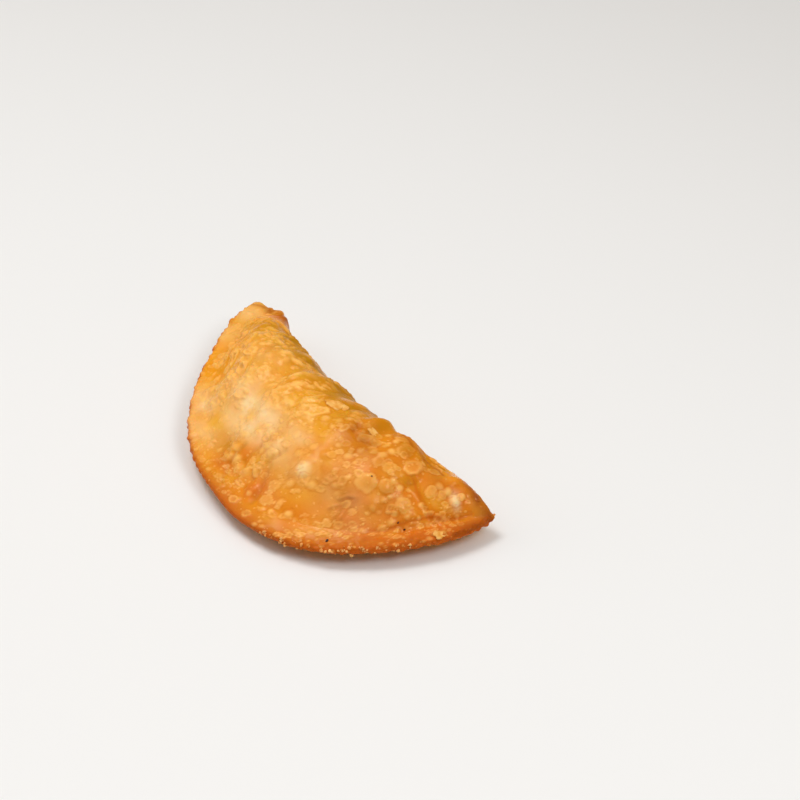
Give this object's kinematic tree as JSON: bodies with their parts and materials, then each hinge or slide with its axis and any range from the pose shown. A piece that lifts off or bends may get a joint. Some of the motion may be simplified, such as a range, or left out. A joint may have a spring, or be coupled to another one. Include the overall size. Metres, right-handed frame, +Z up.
{
  "type": "cheburek",
  "caption": "Deep-fried half-moon pastry with a flat sealed edge, a puffed blistered body, one raised tip and one low tip.",
  "frame": {"origin": "middle of the bounding box in plan, on the surface that the pastry rests on", "axes": "+X along the fold from the raised tip to the low tip, -Y towards the sealed round edge, +Z up"},
  "size_m": [0.1576, 0.0752, 0.0301],
  "materials": {
    "crust": "fried dough, golden to orange-brown, satin with an oily sheen"
  },
  "bodies": {
    "root": {"cheburek": "crust"}
  },
  "joints": []
}
